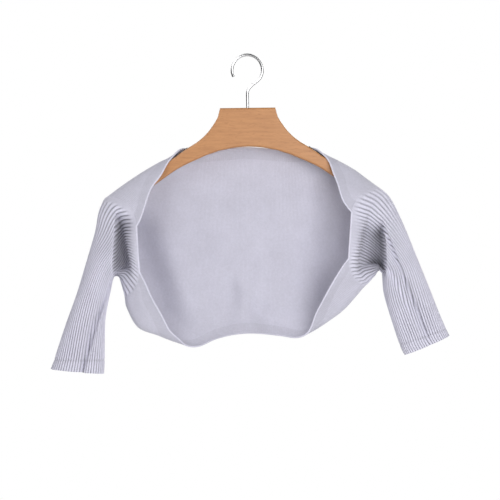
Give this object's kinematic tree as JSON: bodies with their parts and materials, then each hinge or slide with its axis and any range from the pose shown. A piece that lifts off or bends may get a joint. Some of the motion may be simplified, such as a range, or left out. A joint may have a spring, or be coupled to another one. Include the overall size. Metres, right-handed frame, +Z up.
{
  "type": "shoulder warmer on a hanger",
  "caption": "Short open knit shoulder warmer with ribbed elbow-length sleeves, hanging open at the front on a wooden hanger with a wire hook.",
  "frame": {"origin": "inside of the hook's crown, where the hanger hangs on its rail", "axes": "+Z up, +X towards the right sleeve as seen from the front, along the hanger, +Y away from the open front towards the back panel"},
  "size_m": [0.5747, 0.0901, 0.4629],
  "materials": {
    "plain_knit": "fine plain knit, matt, pale lilac grey",
    "rib_knit": "ribbed knit, matt, pale lilac grey",
    "band_knit": "fine ribbed band, matt, pale lilac grey",
    "beech": "beech with a satin clear coat",
    "hook_steel": "bright steel wire",
    "grip_strip": "soft dark strip"
  },
  "bodies": {
    "root": {"body": "plain_knit", "neck_band": "band_knit", "hem_band": "band_knit", "sleeve_left": "rib_knit", "sleeve_right": "rib_knit", "cuff_left": "band_knit", "cuff_right": "band_knit", "hanger": "beech", "hook": "hook_steel", "grip_left": "grip_strip", "grip_right": "grip_strip"}
  },
  "joints": []
}
